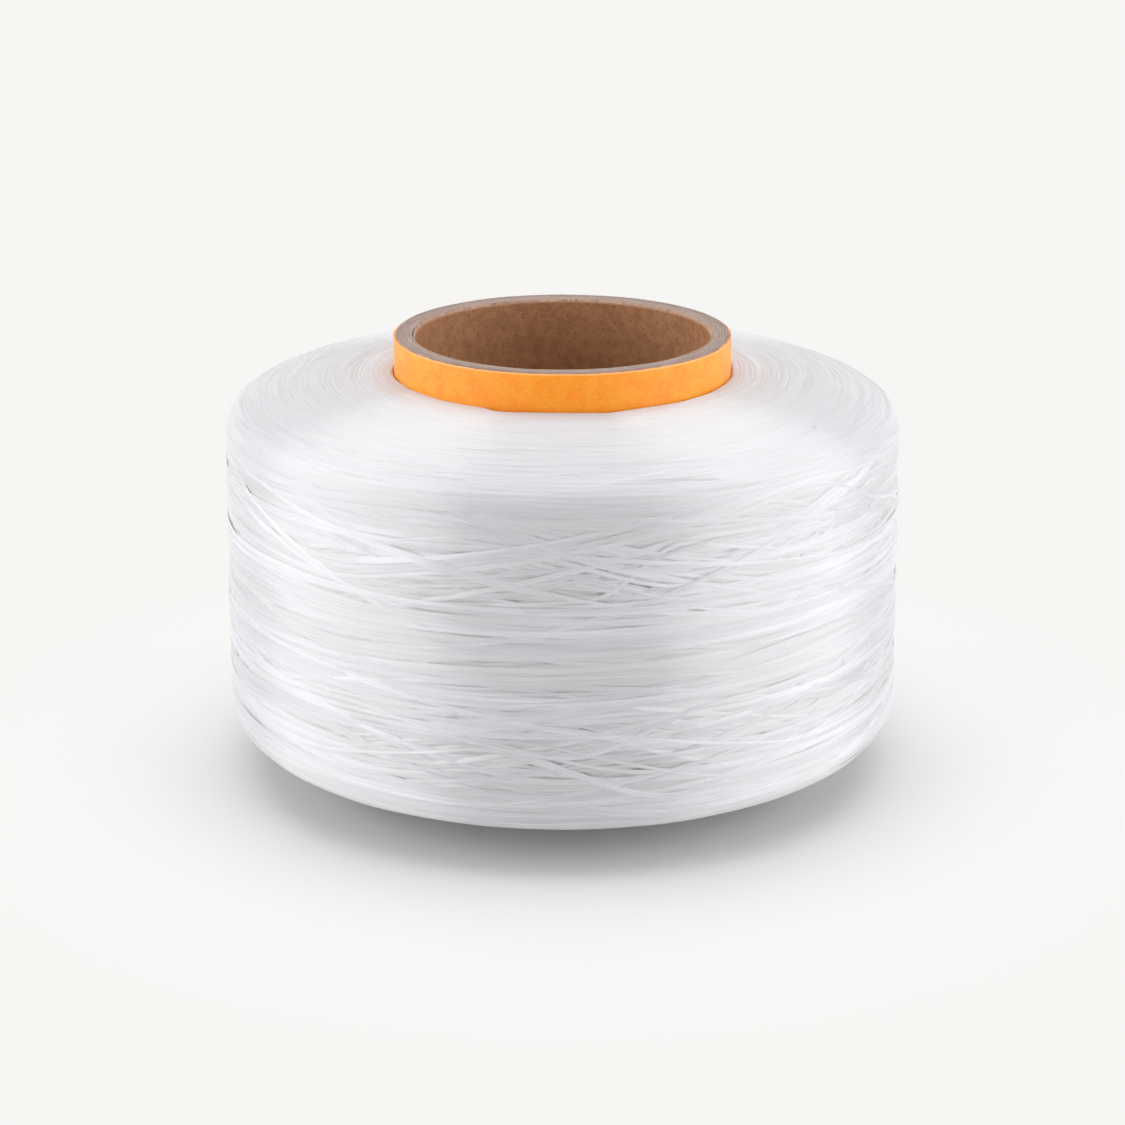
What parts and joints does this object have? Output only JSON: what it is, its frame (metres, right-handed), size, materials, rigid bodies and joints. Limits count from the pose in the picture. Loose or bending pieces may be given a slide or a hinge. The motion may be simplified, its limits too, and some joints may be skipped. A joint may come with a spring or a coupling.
{
  "type": "waxed thread spool",
  "caption": "Squat barrel of white waxed thread cross-wound on a spiral-wound paperboard tube with an orange tape band at its top end.",
  "frame": {"origin": "centre of the tube's lower end, on the surface that the spool stands on", "axes": "+Z along the tube's axis, towards the end with the tape; -Y towards the viewer of the pictured side"},
  "size_m": [0.1178, 0.1178, 0.0762],
  "materials": {
    "kraft_liner": "matte",
    "board": "matte",
    "wrap_paper": "matte",
    "orange_tape": "matte",
    "waxed_thread": "satin"
  },
  "bodies": {
    "root": {"liner_ply": "kraft_liner", "board_ply_1": "board", "board_ply_2": "board", "board_ply_3": "board", "board_ply_4": "board", "board_ply_5": "board", "wrap_ply": "wrap_paper", "tape_band": "orange_tape", "thread_pack": "waxed_thread", "outer_turns": "waxed_thread"}
  },
  "joints": []
}
